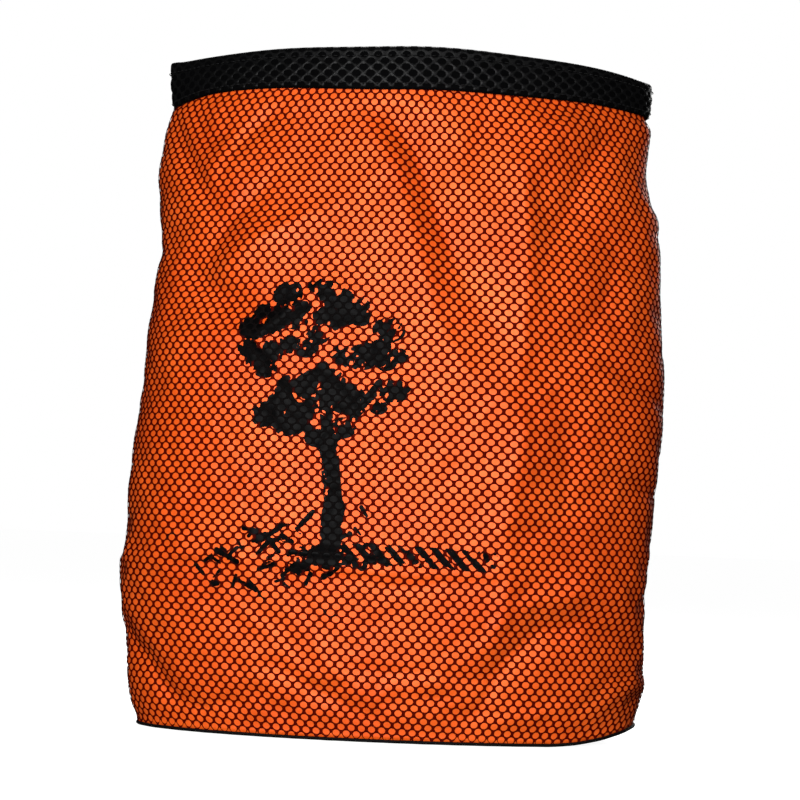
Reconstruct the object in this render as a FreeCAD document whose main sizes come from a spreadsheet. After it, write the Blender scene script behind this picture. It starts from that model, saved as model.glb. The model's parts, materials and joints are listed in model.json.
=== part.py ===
import FreeCAD, Part
import math
import os

import Sketcher
from FreeCAD import Placement, Rotation, Vector

# Rope storage bag: an oval two-layer sack with a stiffened base and a hooped collar.
# Frame: millimetres, +Z up, the front panel faces -Y, the origin is the centre of the base's underside.
# The wall's outline is a loft through oval rings. Each cloth layer lies a set depth inside that outline.

doc = FreeCAD.newDocument("rope_storage_bag")
sheet = doc.addObject("Spreadsheet::Sheet", "Sizes")

# Driving dimensions: name, value, meaning.
DIMENSIONS = [
    ("bag_height", 380.0, "floor to the top of the collar"),
    ("collar_height", 25.0, "width of the folded collar band"),
    ("join_gap", 0.5, "gap between the walls' top edge and the collar"),
    ("base_thick", 1.2, "outer base cloth"),
    ("stiffener_low", 1.5, "underside of the base stiffener"),
    ("stiffener_thick", 2.0, "base stiffener board"),
    ("base_lining_low", 3.8, "underside of the base lining"),
    ("base_lining_thick", 0.8, "base lining cloth"),
    ("base_panel_inset", 2.3, "base cloth inside the foot's outline"),
    ("stiffener_inset", 5.0, "stiffener inside the foot's outline"),
    ("base_lining_inset", 3.0, "base lining inside the foot's outline"),
    ("piping_radius", 1.5, "piping cord round the base"),
    ("piping_inset", 0.5, "piping's centre line inside the foot's outline"),
    ("piping_level", 2.2, "height of the piping's centre line"),
    ("mesh_in", 1.0, "depth of the net's inner face"),
    ("print_out", 1.15, "depth of the print's outer face"),
    ("print_in", 1.45, "depth of the print's inner face"),
    ("lining_out", 1.6, "depth of the lining's outer face"),
    ("lining_in", 2.6, "depth of the lining's inner face"),
    ("tape_out", 2.9, "depth of the seam tapes' outer face"),
    ("tape_in", 3.9, "depth of the seam tapes' inner face"),
    ("seam_gap", 0.4, "gap between the front and back panels"),
    ("tape_width", 20.0, "side seam tape"),
    ("binding_low", 6.0, "bottom edge of the base binding"),
    ("binding_height", 12.0, "width of the base binding"),
    ("print_x", -24.0, "print's centre, to the left of the middle"),
    ("print_z", 172.0, "print's centre above the floor"),
    ("print_wide", 84.0, "half width of the print"),
    ("print_tall", 100.0, "half height of the print"),
    ("rim_wide", 138.5, "half width of the collar's outside"),
    ("rim_deep", 58.4, "half depth of the collar's outside"),
    ("collar_mesh_thick", 0.8, "collar mesh"),
    ("collar_band_inset", 1.0, "collar band inside the collar mesh's outside"),
    ("collar_band_thick", 1.0, "collar band cloth"),
    ("hem_thick", 8.4, "whole thickness of the folded collar"),
    ("hoop_radius", 1.4, "rim hoop wire"),
    ("hoop_inset", 4.2, "hoop's centre line inside the collar's outside"),
    ("hoop_drop", 4.6, "hoop's centre line below the collar's top"),
    ("ferrule_radius", 2.1, "outside of the hoop's ferrule"),
    ("ferrule_bore", 1.7, "inside of the hoop's ferrule"),
    ("ferrule_length", 14.0, "ferrule, end to end"),
    ("thread_thick", 0.6, "stitch rows stand out this much"),
    ("thread_wide", 0.8, "height of a stitch row"),
    ("thread_margin", 3.2, "stitch rows' distance from the collar's edges"),
    ("webbing_width", 20.0, "webbing of the loops and tabs"),
    ("webbing_thick", 1.6, "webbing thickness"),
    ("eye_radius", 6.5, "inside of a loop's bend"),
    ("eye_straight", 26.0, "distance between a loop's two bends"),
    ("tab_length", 20.0, "sewn tab of a loop"),
    ("tack_half", 7.0, "half length of a bar-tack between its round ends"),
    ("tack_radius", 1.2, "half width of a bar-tack"),
    ("tack_thick", 0.6, "thickness of a bar-tack"),
    ("tail_pivot_y", 12.0, "tail loop's pivot, behind the middle of the base"),
    ("tail_pivot_z", 13.0, "tail loop's pivot above the floor"),
    ("head_pivot_y", 42.0, "head loop's pivot, in front of the back of the collar"),
    ("head_pivot_z", 348.5, "head loop's pivot above the floor"),
    ("cutter", 400.0, "size of the blocks that trim the shells"),
]

# Rings of the wall's outline, from the foot up: name, height, half width, half depth.
RINGS = [
    ("foot", 4.0, 141.0, 57.0),
    ("heel", 20.0, 147.5, 61.0),
    ("lower", 52.0, 149.8, 65.0),
    ("belly", 122.0, 152.7, 68.0),
    ("widest", 191.0, 154.0, 69.0),
    ("shoulder", 249.0, 147.5, 66.0),
    ("waist", 272.0, 143.0, 64.0),
    ("neck", 315.0, 140.0, 60.0),
    ("top", 354.5, 136.1, 56.0),
]

BAG_PIECES = []


def fill_sheet():
    """Write each driving dimension into the sheet as text, with its alias."""
    rows = list(DIMENSIONS)
    for name, level, wide, deep in RINGS:
        rows.append((name + "_level", level, "height of the " + name + " ring"))
        rows.append((name + "_wide", wide, "half width of the " + name + " ring"))
        rows.append((name + "_deep", deep, "half depth of the " + name + " ring"))
    for number, (name, value, meaning) in enumerate(rows, start=1):
        sheet.set("A%d" % number, name)
        sheet.set("B%d" % number, str(value))
        sheet.set("C%d" % number, meaning)
        sheet.setAlias("B%d" % number, name)
    doc.recompute()


def add(kind, name, **expressions):
    """A document object whose properties are bound to the sheet. Two underscores stand for a dot."""
    made = doc.addObject(kind, name)
    for path, expression in expressions.items():
        made.setExpression(path.replace("__", "."), expression)
    return made


def piece(made, name):
    """Name the finished object after the physical piece that it is."""
    made.Label = name
    BAG_PIECES.append(made)
    return made


# Ovals, prisms and shells


def oval(name, wide, deep, level):
    """An oval ring lying flat at a height."""
    return add("Part::Ellipse", name, MajorRadius=wide, MinorRadius=deep, Placement__Base__z=level)


def prism(name, wide, deep, level, height):
    """An upright oval prism."""
    made = add("Part::Extrusion", name, LengthFwd=height)
    made.Base = oval(name + "_oval", wide, deep, level)
    made.DirMode = "Custom"
    made.Dir = Vector(0, 0, 1)
    made.Solid = True
    return made


def cut(name, base, tool):
    made = doc.addObject("Part::Cut", name)
    made.Base = base
    made.Tool = tool
    return made


def common(name, base, tool):
    made = doc.addObject("Part::Common", name)
    made.Base = base
    made.Tool = tool
    return made


def wall_loft(name, depth):
    """The whole sack as a solid, a given depth inside the wall's outline."""
    made = doc.addObject("Part::Loft", name)
    made.Sections = [
        oval(
            "%s_%s" % (name, ring),
            "Sizes.%s_wide - (%s)" % (ring, depth),
            "Sizes.%s_deep - (%s)" % (ring, depth),
            "Sizes.%s_level" % ring,
        )
        for ring, _, _, _ in RINGS
    ]
    made.Solid = True
    made.Ruled = False
    return made


def shell(name, outer_depth, inner_depth):
    """The layer of cloth between two depths, all the way round."""
    outside = wall_loft(name + "_outside", outer_depth)
    inside = wall_loft(name + "_inside", inner_depth)
    return cut(name, outside, inside)


def block(name, x, y, z, length="Sizes.cutter", width="Sizes.cutter", height="Sizes.cutter"):
    """A box whose lowest corner and sides are expressions."""
    return add(
        "Part::Box",
        name,
        Length=length,
        Width=width,
        Height=height,
        Placement__Base__x=x,
        Placement__Base__y=y,
        Placement__Base__z=z,
    )


# Walls: net, lining, seam tapes, binding and print


def make_walls():
    """The net and the lining, each a front and a back panel, meeting at the two side seams."""
    front = block("front_half", "-Sizes.cutter / 2", "-Sizes.cutter - Sizes.seam_gap / 2", "-1")
    back = block("back_half", "-Sizes.cutter / 2", "Sizes.seam_gap / 2", "-1")
    for layer, outer, inner in (("mesh", "0", "Sizes.mesh_in"), ("lining", "Sizes.lining_out", "Sizes.lining_in")):
        whole = shell(layer + "_shell", outer, inner)
        piece(common(layer + "_front_part", whole, front), layer + "_front")
        piece(common(layer + "_back_part", whole, back), layer + "_back")


def make_tapes():
    """Inside the lining: a tape down each side seam, and a binding round the bottom seam."""
    layer = shell("tape_shell", "Sizes.tape_out", "Sizes.tape_in")
    tape_bottom = "Sizes.binding_low + Sizes.binding_height + Sizes.join_gap"
    for side, x in (("left", "-Sizes.cutter"), ("right", "0")):
        strip = block("tape_strip_" + side, x, "-Sizes.tape_width / 2", tape_bottom, width="Sizes.tape_width")
        piece(common("tape_part_" + side, layer, strip), "side_tape_" + side)
    band = block(
        "binding_block",
        "-Sizes.cutter / 2",
        "-Sizes.cutter / 2",
        "Sizes.binding_low",
        height="Sizes.binding_height",
    )
    piece(common("binding_part", layer, band), "base_binding")


def make_print():
    """The print's ink film, between the front lining and the front net."""
    film = shell("print_shell", "Sizes.print_out", "Sizes.print_in")
    outline = add(
        "Part::Ellipse",
        "print_outline",
        MajorRadius="Sizes.print_tall",
        MinorRadius="Sizes.print_wide",
        Placement__Base__x="Sizes.print_x",
        Placement__Base__z="Sizes.print_z",
    )
    upright = Rotation(Vector(1, 0, 0), 90) * Rotation(Vector(0, 0, 1), 90)
    outline.Placement = Placement(Vector(0, 0, 0), upright)
    stamp = add("Part::Extrusion", "print_stamp", LengthFwd="Sizes.cutter")
    stamp.Base = outline
    stamp.DirMode = "Custom"
    stamp.Dir = Vector(0, -1, 0)
    stamp.Solid = True
    piece(common("print_part", film, stamp), "front_print")


# Base


def make_base():
    """Outer base cloth, the stiffener board over it, the base lining, and the piping round the edge."""
    layers = (
        ("base_panel", "Sizes.base_panel_inset", "0", "Sizes.base_thick"),
        ("base_stiffener", "Sizes.stiffener_inset", "Sizes.stiffener_low", "Sizes.stiffener_thick"),
        ("base_lining", "Sizes.base_lining_inset", "Sizes.base_lining_low", "Sizes.base_lining_thick"),
    )
    for name, inset, level, thick in layers:
        wide = "Sizes.foot_wide - " + inset
        deep = "Sizes.foot_deep - " + inset
        piece(prism(name + "_disc", wide, deep, level, thick), name)
    piping = round_ring(
        "piping",
        "Sizes.foot_wide - Sizes.piping_inset",
        "Sizes.foot_deep - Sizes.piping_inset",
        "Sizes.piping_level",
        "Sizes.piping_radius",
    )
    piece(piping, "base_piping")


def round_ring(name, wide, deep, level, radius):
    """A round wire or cord bent into an oval."""
    path = oval(name + "_path", wide, deep, level)
    section = add(
        "Part::Circle",
        name + "_section",
        Radius=radius,
        Placement__Base__x=wide,
        Placement__Base__z=level,
    )
    section.Placement = Placement(Vector(0, 0, 0), Rotation(Vector(1, 0, 0), 90))
    made = doc.addObject("Part::Sweep", name)
    made.Sections = [section]
    made.Spine = (path, ["Edge1"])
    made.Solid = True
    made.Frenet = True
    return made


# Collar


def collar_prism(name, inset, level, height):
    """An upright prism a given depth inside the collar's outside."""
    wide = "Sizes.rim_wide - (%s)" % inset
    deep = "Sizes.rim_deep - (%s)" % inset
    return prism(name, wide, deep, level, height)


def folded_hem(name, inset, thick, top_drop):
    """Cloth folded over the rim: an outer leg, a top and an inner leg, open downwards."""
    foot = "Sizes.bag_height - Sizes.collar_height"
    height = "Sizes.collar_height - %s" % top_drop
    channel_height = "Sizes.collar_height - %s - %s" % (top_drop, thick)
    outside = collar_prism(name + "_outside", inset, foot, height)
    inside = collar_prism(name + "_inside", "Sizes.hem_thick - %s" % inset, foot, height)
    channel_outside = collar_prism(name + "_channel_out", "%s + %s" % (inset, thick), foot, channel_height)
    channel_inside = collar_prism(
        name + "_channel_in", "Sizes.hem_thick - %s - %s" % (inset, thick), foot, channel_height
    )
    ring = cut(name + "_ring", outside, inside)
    channel = cut(name + "_channel", channel_outside, channel_inside)
    return cut(name + "_hem", ring, channel)


def make_collar():
    """Band and mesh folded over the hoop, with a row of stitching near each edge."""
    piece(folded_hem("mesh_hem", "0", "Sizes.collar_mesh_thick", "0"), "collar_mesh")
    band = folded_hem("band_hem", "Sizes.collar_band_inset", "Sizes.collar_band_thick", "Sizes.collar_band_inset")
    piece(band, "collar_band")
    rows = (
        ("lower", "Sizes.bag_height - Sizes.collar_height + Sizes.thread_margin"),
        ("upper", "Sizes.bag_height - Sizes.thread_margin"),
    )
    for name, level in rows:
        outside = collar_prism("thread_out_" + name, "-Sizes.thread_thick", level, "Sizes.thread_wide")
        inside = collar_prism("thread_in_" + name, "-0.05", level, "Sizes.thread_wide")
        piece(cut("thread_" + name, outside, inside), "collar_thread_" + name)


def make_hoop():
    """The spring wire in the collar, and the sleeve that joins its ends at the back."""
    level = "Sizes.bag_height - Sizes.hoop_drop"
    wide = "Sizes.rim_wide - Sizes.hoop_inset"
    deep = "Sizes.rim_deep - Sizes.hoop_inset"
    piece(round_ring("hoop", wide, deep, level, "Sizes.hoop_radius"), "rim_hoop")
    sleeve = []
    for part, radius in (("out", "Sizes.ferrule_radius"), ("bore", "Sizes.ferrule_bore")):
        rod = add(
            "Part::Cylinder",
            "ferrule_" + part,
            Radius=radius,
            Height="Sizes.ferrule_length",
            Placement__Base__x="-Sizes.ferrule_length / 2",
            Placement__Base__y=deep,
            Placement__Base__z=level,
        )
        rod.Placement = Placement(Vector(0, 0, 0), Rotation(Vector(0, 1, 0), 90))
        sleeve.append(rod)
    piece(cut("ferrule_sleeve", sleeve[0], sleeve[1]), "hoop_ferrule")


# Webbing loops, tabs and bar-tacks: bodies padded from sketches


def plane_of(body, role):
    for feature in body.Origin.OriginFeatures:
        if feature.Role == role:
            return feature
    raise ValueError("no plane " + role)


def new_sketch(body, name, role):
    sketch = body.newObject("Sketcher::SketchObject", name)
    sketch.AttachmentSupport = (plane_of(body, role), [""])
    sketch.MapMode = "FlatFace"
    return sketch


def add_stadium(sketch, tag, radius, straight, concentric_with=None):
    """Two half circles and two lines, from the sketch's origin downwards. Returns the upper arc's number."""
    half_turn = math.pi
    size = 5.0
    drop = 20.0
    up = Vector(0, 0, 1)
    upper = Part.ArcOfCircle(Part.Circle(Vector(0, 0, 0), up, size), 0, half_turn)
    lower = Part.ArcOfCircle(Part.Circle(Vector(0, -drop, 0), up, size), half_turn, 2 * half_turn)
    left = Part.LineSegment(Vector(-size, 0, 0), Vector(-size, -drop, 0))
    right = Part.LineSegment(Vector(size, -drop, 0), Vector(size, 0, 0))
    first = sketch.addGeometry([upper, left, lower, right], False)[0]
    for one, one_end, other, other_end in ((0, 2, 1, 1), (1, 2, 2, 1), (2, 2, 3, 1), (3, 2, 0, 1)):
        sketch.addConstraint(Sketcher.Constraint("Tangent", first + one, one_end, first + other, other_end))
    sketch.addConstraint(Sketcher.Constraint("Vertical", first + 1))
    if concentric_with is None:
        sketch.addConstraint(Sketcher.Constraint("Vertical", first + 3))
        sketch.addConstraint(Sketcher.Constraint("Coincident", first, 3, -1, 1))
        number = sketch.addConstraint(Sketcher.Constraint("DistanceY", first + 2, 3, first, 3, drop))
        sketch.renameConstraint(number, "straight_" + tag)
        sketch.setExpression("Constraints.straight_" + tag, straight)
    else:
        sketch.addConstraint(Sketcher.Constraint("Coincident", first, 3, concentric_with, 3))
        sketch.addConstraint(Sketcher.Constraint("Coincident", first + 2, 3, concentric_with + 2, 3))
    number = sketch.addConstraint(Sketcher.Constraint("Radius", first, size))
    sketch.renameConstraint(number, "radius_" + tag)
    sketch.setExpression("Constraints.radius_" + tag, radius)
    return first


def add_pad(body, sketch, length):
    pad = body.newObject("PartDesign::Pad", sketch.Name + "_pad")
    pad.Profile = sketch
    pad.setExpression("Length", length)
    pad.Midplane = True
    return pad


def placed(body, y, z, turn):
    """Put a body's origin at (0, y, z), turned about X."""
    body.setExpression("Placement.Base.y", y)
    body.setExpression("Placement.Base.z", z)
    body.Placement = Placement(Vector(0, 0, 0), Rotation(Vector(1, 0, 0), turn))


def make_loop(name, y, z, turn):
    """A strip of webbing sewn into a long ring. It pivots about the centre of its upper bend."""
    body = doc.addObject("PartDesign::Body", name + "_body")
    sketch = new_sketch(body, name + "_profile", "YZ_Plane")
    inner = add_stadium(sketch, "eye", "Sizes.eye_radius", "Sizes.eye_straight")
    add_stadium(sketch, "outside", "Sizes.eye_radius + Sizes.webbing_thick", "", concentric_with=inner)
    add_pad(body, sketch, "Sizes.webbing_width")
    placed(body, y, z, turn)
    piece(body, name)


def make_tab(name, y, z, turn):
    """The sewn-down end of a loop's webbing: a flat rectangle, its middle at the body's origin."""
    body = doc.addObject("PartDesign::Body", name + "_body")
    sketch = new_sketch(body, name + "_profile", "XZ_Plane")
    corners = [Vector(-5, -5, 0), Vector(5, -5, 0), Vector(5, 5, 0), Vector(-5, 5, 0)]
    for number, corner in enumerate(corners):
        sketch.addGeometry(Part.LineSegment(corner, corners[(number + 1) % 4]), False)
    for number in range(4):
        sketch.addConstraint(Sketcher.Constraint("Coincident", number, 2, (number + 1) % 4, 1))
    for number, direction in enumerate(("Horizontal", "Vertical", "Horizontal", "Vertical")):
        sketch.addConstraint(Sketcher.Constraint(direction, number))
    sketch.addConstraint(Sketcher.Constraint("Symmetric", 0, 1, 1, 2, -1, 1))
    for direction, name_of, value, line in (
        ("DistanceX", "width", "Sizes.webbing_width", 0),
        ("DistanceY", "length", "Sizes.tab_length", 1),
    ):
        number = sketch.addConstraint(Sketcher.Constraint(direction, line, 1, line, 2, 10.0))
        sketch.renameConstraint(number, name_of)
        sketch.setExpression("Constraints." + name_of, value)
    add_pad(body, sketch, "Sizes.webbing_thick")
    placed(body, y, z, turn)
    piece(body, name)


def make_tack(name, y, z, turn):
    """A bar-tack: a dense ridge of thread across the tab."""
    body = doc.addObject("PartDesign::Body", name + "_body")
    sketch = new_sketch(body, name + "_profile", "XZ_Plane")
    add_stadium(sketch, "tack", "Sizes.tack_radius", "2 * Sizes.tack_half")
    add_pad(body, sketch, "Sizes.tack_thick")
    body.setExpression("Placement.Base.x", "Sizes.tack_half")
    placed(body, y, z, turn)
    lying = Rotation(Vector(1, 0, 0), turn) * Rotation(Vector(0, 1, 0), 90)
    body.Placement = Placement(Vector(0, 0, 0), lying)
    piece(body, name)


def make_loops():
    """One loop on the base for the rope's tail end, one at the back of the mouth for its other end."""
    reach = "(Sizes.eye_radius + Sizes.webbing_thick)"
    clear = "Sizes.join_gap"
    lift = "0.05"
    make_loop("tail_loop", "Sizes.tail_pivot_y", "Sizes.tail_pivot_z", -90)
    base_top = "Sizes.base_lining_low + Sizes.base_lining_thick + " + lift
    tab_y = "Sizes.tail_pivot_y + %s + %s + Sizes.tab_length / 2" % (reach, clear)
    make_tab("tail_loop_tab", tab_y, base_top + " + Sizes.webbing_thick / 2", 90)
    tack_z = base_top + " + Sizes.webbing_thick + Sizes.tack_thick / 2 + " + lift
    make_tack("tail_bartack", tab_y, tack_z, 90)
    make_loop("head_loop", "Sizes.head_pivot_y", "Sizes.head_pivot_z", 0)
    collar_inside = "Sizes.rim_deep - Sizes.hem_thick - 4 * " + lift
    tab_z = "Sizes.head_pivot_z + %s + %s + Sizes.tab_length / 2" % (reach, clear)
    make_tab("head_loop_tab", collar_inside + " - Sizes.webbing_thick / 2", tab_z, 0)
    tack_y = collar_inside + " - Sizes.webbing_thick - Sizes.tack_thick / 2 - " + lift
    make_tack("head_bartack", tack_y, tab_z, 0)


def check_and_export():
    """Stop if any object failed or any piece isn't a valid solid, then write each piece."""
    doc.recompute()
    failed = [made.Name for made in doc.Objects if "Invalid" in made.State or "Error" in made.State]
    if failed:
        raise RuntimeError("failed objects: " + ", ".join(failed))
    for made in BAG_PIECES:
        shape = made.Shape
        if shape.isNull() or not shape.isValid() or not shape.Solids:
            raise RuntimeError("bad shape: " + made.Label)
    os.makedirs("parts", exist_ok=True)
    for made in BAG_PIECES:
        made.Shape.exportStep("parts/%s.step" % made.Label)
        box = made.Shape.BoundBox
        print(
            "%-20s volume %9.1f  x %7.2f %7.2f  y %7.2f %7.2f  z %7.2f %7.2f"
            % (made.Label, made.Shape.Volume, box.XMin, box.XMax, box.YMin, box.YMax, box.ZMin, box.ZMax)
        )


fill_sheet()
make_base()
make_walls()
make_tapes()
make_print()
make_collar()
make_hoop()
make_loops()
check_and_export()
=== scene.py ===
import json
import math

import bpy
import numpy as np
from mathutils import Matrix, Vector


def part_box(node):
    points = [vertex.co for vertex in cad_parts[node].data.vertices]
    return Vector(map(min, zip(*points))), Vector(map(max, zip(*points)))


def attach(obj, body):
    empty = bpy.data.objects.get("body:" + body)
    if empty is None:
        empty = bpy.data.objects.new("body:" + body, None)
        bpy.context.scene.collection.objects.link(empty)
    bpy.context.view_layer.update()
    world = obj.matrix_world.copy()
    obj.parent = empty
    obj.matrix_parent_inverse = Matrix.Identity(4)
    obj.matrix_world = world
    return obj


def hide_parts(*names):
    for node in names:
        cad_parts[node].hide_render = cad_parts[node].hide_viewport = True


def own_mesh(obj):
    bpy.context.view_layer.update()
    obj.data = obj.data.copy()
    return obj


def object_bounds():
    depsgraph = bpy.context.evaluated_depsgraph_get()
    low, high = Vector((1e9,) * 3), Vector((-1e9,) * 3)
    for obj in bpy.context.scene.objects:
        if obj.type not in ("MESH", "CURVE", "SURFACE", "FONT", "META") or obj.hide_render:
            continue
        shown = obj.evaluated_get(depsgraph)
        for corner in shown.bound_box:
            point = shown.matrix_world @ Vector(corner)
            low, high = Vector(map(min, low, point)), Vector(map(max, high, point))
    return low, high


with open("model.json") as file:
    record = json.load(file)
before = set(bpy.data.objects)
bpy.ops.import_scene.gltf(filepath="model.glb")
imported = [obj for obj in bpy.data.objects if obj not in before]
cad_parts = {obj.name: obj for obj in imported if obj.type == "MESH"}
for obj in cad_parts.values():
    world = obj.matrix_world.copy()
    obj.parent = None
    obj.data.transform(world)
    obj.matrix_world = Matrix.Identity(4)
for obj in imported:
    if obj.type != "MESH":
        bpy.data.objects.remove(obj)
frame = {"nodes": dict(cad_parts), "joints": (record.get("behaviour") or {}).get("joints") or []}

# Rope storage bag. Metres, +Z up, the printed front panel faces -Y.
# u runs along a panel's width, from -1 at the left seam (as seen from the front) to 1 at the right one.
# f runs once round the bag, from 0 at the left seam through the front panel to 1.

CAD_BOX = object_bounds()
TOP = CAD_BOX[1].z
MM = 0.001
OVER_PRINT = "over_print"

rng = np.random.default_rng(7)


# ---------------------------------------------------------------- camera, floor and light

VIEW_DISTANCE = 1.10
VIEW_HEIGHT = 0.11
VIEW_ROLL = math.radians(2.3)
VIEW_WIDTH = 0.4575
VIEW_DROP = 0.0015
FLOOR_GLOW = 0.945
FLOOR_REACH = 30.0
SKY_LIGHT = 0.08
MIDDLE = (0, 0, TOP / 2)
MOUTH = (0, 0, TOP)
# Lamps: name, place, what it points at, width and height, watts.
LAMPS = [
    ("key", (-0.22, -1.14, 0.27), MIDDLE, (0.20, 0.20), 14.6),
    ("front", (0.20, -1.15, 0.66), MOUTH, (0.16, 0.16), 2.2),
    ("side", (0.9, -1.2, 0.30), MIDDLE, (0.5, 0.8), 2.5),
    ("back", (0.7, 1.3, 0.8), MIDDLE, (0.8, 0.8), 19),
    ("mouth", (0, 0.35, 1.25), MOUTH, (0.3, 0.3), 9),
]


def place_in_scene(name, data):
    """A new object in the scene that holds the given mesh, camera or light."""
    made = bpy.data.objects.new(name, data)
    bpy.context.scene.collection.objects.link(made)
    return made


def make_camera():
    """Low in front of the bag, looking slightly up, rolled so that the bag leans a little."""
    camera = bpy.data.cameras.new("camera")
    target = Vector((0, 0, TOP / 2 - VIEW_DROP))
    place = Vector((0, -VIEW_DISTANCE, VIEW_HEIGHT))
    camera.sensor_width = 36
    camera.lens = camera.sensor_width * (target - place).length / VIEW_WIDTH
    holder = place_in_scene("camera", camera)
    holder.location = place
    look = (target - place).to_track_quat("-Z", "Y").to_matrix()
    holder.rotation_euler = (look @ Matrix.Rotation(VIEW_ROLL, 3, "Z")).to_euler()
    bpy.context.scene.camera = holder


def make_floor():
    """A pale floor that runs far out and glows, so that it meets the white surround."""
    paint = Nodes("floor_paint")
    mottle = paint.ramp(paint.noise(0.4), [(0.3, (0.50, 0.50, 0.50)), (0.7, (0.52, 0.52, 0.52))])
    paint.link(mottle, paint.shader.inputs["Base Color"])
    paint.constant(Roughness=0.8, Emission_Color=(1, 1, 1, 1), Emission_Strength=FLOOR_GLOW)
    corners = [(x * FLOOR_REACH, y * FLOOR_REACH, 0) for x, y in ((-1, -1), (1, -1), (1, 1), (-1, 1))]
    floor = new_object("floor", corners, [(0, 1, 2, 3)], paint.material)
    floor.location.z = -0.0004
    floor.visible_diffuse = False
    floor.visible_glossy = False


def make_surround():
    """White where the camera sees it, and only a dim light on the bag."""
    world = bpy.data.worlds.new("studio")
    world.use_nodes = True
    tree = world.node_tree
    sky = tree.nodes["Background"]
    white = tree.nodes.new("ShaderNodeBackground")
    for background, strength in ((sky, SKY_LIGHT), (white, 1.0)):
        background.inputs["Color"].default_value = (1, 1, 1, 1)
        background.inputs["Strength"].default_value = strength
    rays = tree.nodes.new("ShaderNodeLightPath")
    mix = tree.nodes.new("ShaderNodeMixShader")
    tree.links.new(rays.outputs["Is Camera Ray"], mix.inputs["Fac"])
    tree.links.new(sky.outputs["Background"], mix.inputs[1])
    tree.links.new(white.outputs["Background"], mix.inputs[2])
    tree.links.new(mix.outputs["Shader"], tree.nodes["World Output"].inputs["Surface"])
    bpy.context.scene.world = world
    bpy.context.scene.view_settings.view_transform = "Standard"


def make_lamps():
    for name, place, target, size, power in LAMPS:
        light = bpy.data.lights.new(name, "AREA")
        light.shape = "RECTANGLE"
        light.size, light.size_y = size
        light.energy = power
        lamp = place_in_scene(name, light)
        lamp.location = place
        lamp.rotation_euler = (Vector(target) - Vector(place)).to_track_quat("-Z", "Y").to_euler()


# ---------------------------------------------------------------- materials


def new_material(name):
    material = bpy.data.materials.new(name)
    material.use_nodes = True
    return material


class Nodes:
    """Short calls for building one material's node tree."""

    def __init__(self, name):
        self.material = new_material(name)
        self.tree = self.material.node_tree
        self.shader = self.tree.nodes["Principled BSDF"]
        self.coordinates = self.add("ShaderNodeTexCoord").outputs["Object"]

    def add(self, kind, **settings):
        node = self.tree.nodes.new(kind)
        for name, value in settings.items():
            setattr(node, name, value)
        return node

    def link(self, source, target):
        self.tree.links.new(source, target)

    def constant(self, **values):
        for name, value in values.items():
            self.shader.inputs[name.replace("_", " ")].default_value = value

    def noise(self, size, detail=2.0, roughness=0.5, source=None):
        """Noise whose blobs are about `size` metres across."""
        node = self.add("ShaderNodeTexNoise")
        node.inputs["Scale"].default_value = 1 / size
        node.inputs["Detail"].default_value = detail
        node.inputs["Roughness"].default_value = roughness
        self.link(source or self.coordinates, node.inputs["Vector"])
        return node.outputs["Fac"]

    def stretched(self, scale):
        node = self.add("ShaderNodeMapping")
        node.inputs["Scale"].default_value = scale
        self.link(self.coordinates, node.inputs["Vector"])
        return node.outputs["Vector"]

    def wave(self, pitch, direction, distortion=0.0, source=None):
        """Parallel ribs, one every `pitch` metres."""
        node = self.add("ShaderNodeTexWave", wave_type="BANDS", bands_direction=direction, wave_profile="SIN")
        node.inputs["Scale"].default_value = math.pi / (10 * pitch)
        node.inputs["Distortion"].default_value = distortion
        self.link(source or self.coordinates, node.inputs["Vector"])
        return node.outputs["Fac"]

    def math(self, operation, first, second):
        node = self.add("ShaderNodeMath", operation=operation)
        for socket, value in zip(node.inputs, (first, second)):
            if isinstance(value, (int, float)):
                socket.default_value = value
            else:
                self.link(value, socket)
        return node.outputs["Value"]

    def ramp(self, factor, stops):
        """Colours by factor: stops are (position, rgb)."""
        node = self.add("ShaderNodeValToRGB")
        elements = node.color_ramp.elements
        while len(elements) < len(stops):
            elements.new(0.5)
        for element, (position, colour) in zip(elements, stops):
            element.position = position
            element.color = (*colour, 1)
        self.link(factor, node.inputs["Fac"])
        return node.outputs["Color"]

    def range(self, factor, low, high):
        node = self.add("ShaderNodeMapRange")
        node.inputs["To Min"].default_value = low
        node.inputs["To Max"].default_value = high
        self.link(factor, node.inputs["Value"])
        return node.outputs["Result"]

    def bump(self, height, distance, over=None):
        node = self.add("ShaderNodeBump")
        node.inputs["Distance"].default_value = distance
        self.link(height, node.inputs["Height"])
        if over is not None:
            self.link(over, node.inputs["Normal"])
        return node.outputs["Normal"]


    def finish(self, colour, roughness, normal, **constants):
        """Link the shader's sockets, set its constants and give the material back."""
        for socket, source in (("Base Color", colour), ("Roughness", roughness), ("Normal", normal)):
            self.link(source, self.shader.inputs[socket])
        self.constant(**constants)
        return self.material


def weave(nodes, pitch):
    """Plain weave height from ribs along three axes, so that it works on any side."""
    ribs = [nodes.wave(pitch, axis) for axis in "XYZ"]
    crossed = [nodes.math("MULTIPLY", rib, ribs[2]) for rib in ribs[:2]]
    return nodes.math("ADD", *crossed)


def cloth_material(name, colours, roughness, weave_pitch, weave_height, wrinkle_height, **constants):
    """Woven cloth: blotchy colour, a fine weave, small wrinkles, and uneven gloss."""
    nodes = Nodes(name)
    blotches = nodes.noise(0.045, detail=4.0, roughness=0.6)
    stops = [(0.3 + 0.4 * k / (len(colours) - 1), colour) for k, colour in enumerate(colours)]
    normal = nodes.bump(weave(nodes, weave_pitch), weave_height)
    if wrinkle_height:
        wrinkles = nodes.noise(0.011, detail=3.0, roughness=0.55, source=nodes.stretched((1.0, 1.0, 0.55)))
        normal = nodes.bump(wrinkles, wrinkle_height, over=normal)
    gloss = nodes.range(nodes.noise(0.02, detail=3.0), *roughness)
    return nodes.finish(nodes.ramp(blotches, stops), gloss, normal, **constants)


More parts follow.
